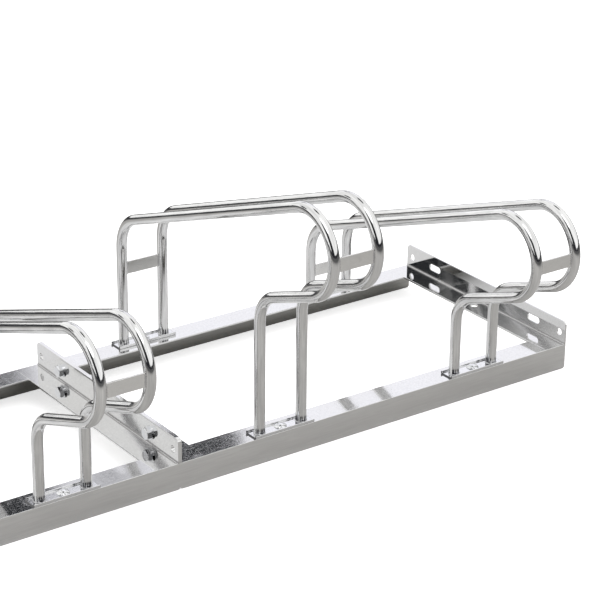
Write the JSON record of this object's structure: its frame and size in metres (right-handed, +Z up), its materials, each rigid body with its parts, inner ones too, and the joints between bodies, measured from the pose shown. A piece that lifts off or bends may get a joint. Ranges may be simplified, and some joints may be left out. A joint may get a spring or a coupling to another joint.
{
  "type": "floor bike rack",
  "caption": "Floor-standing bike rack of galvanised steel: twin bent-tube wheel holders at two heights, bolted to a low angle-section frame made of joined modules.",
  "frame": {"origin": "on the floor, under the middle of the rack's overall length and overall depth", "axes": "+X along the rails, -Y to the side where the noses of the wheel holders stick out, +Z up"},
  "size_m": [1.4, 0.553, 0.418],
  "materials": {
    "galvanised_tube": "bright galvanised tube with fine lengthwise streaks",
    "galvanised_profile": "hot-dip galvanised with a fine crystal pattern",
    "galvanised_flat": "hot-dip galvanised sheet and flat bar",
    "zinc_fastener": "bright zinc plated"
  },
  "bodies": {
    "root": {"left_front_rail": "galvanised_profile", "left_rear_rail": "galvanised_profile", "left_module_left_cross": "galvanised_profile", "left_module_right_cross": "galvanised_profile", "left_high_left_tube": "galvanised_tube", "left_high_right_tube": "galvanised_tube", "left_high_nose_bar": "galvanised_flat", "left_high_rear_bar": "galvanised_flat", "left_high_front_foot": "galvanised_flat", "left_high_rear_foot": "galvanised_flat", "left_low_left_tube": "galvanised_tube", "left_low_right_tube": "galvanised_tube", "left_low_nose_bar": "galvanised_flat", "left_low_rear_bar": "galvanised_flat", "left_low_front_foot": "galvanised_flat", "left_low_rear_foot": "galvanised_flat", "right_front_rail": "galvanised_profile", "right_rear_rail": "galvanised_profile", "right_module_left_cross": "galvanised_profile", "right_module_right_cross": "galvanised_profile", "right_high_left_tube": "galvanised_tube", "right_high_right_tube": "galvanised_tube", "right_high_nose_bar": "galvanised_flat", "right_high_rear_bar": "galvanised_flat", "right_high_front_foot": "galvanised_flat", "right_high_rear_foot": "galvanised_flat", "right_low_left_tube": "galvanised_tube", "right_low_right_tube": "galvanised_tube", "right_low_nose_bar": "galvanised_flat", "right_low_rear_bar": "galvanised_flat", "right_low_front_foot": "galvanised_flat", "right_low_rear_foot": "galvanised_flat", "foot_bolts": "zinc_fastener", "foot_bolt_washers": "zinc_fastener", "foot_bolt_nuts": "zinc_fastener", "joint_bolts": "zinc_fastener", "joint_bolt_washers": "zinc_fastener", "joint_bolt_nuts": "zinc_fastener"}
  },
  "joints": []
}
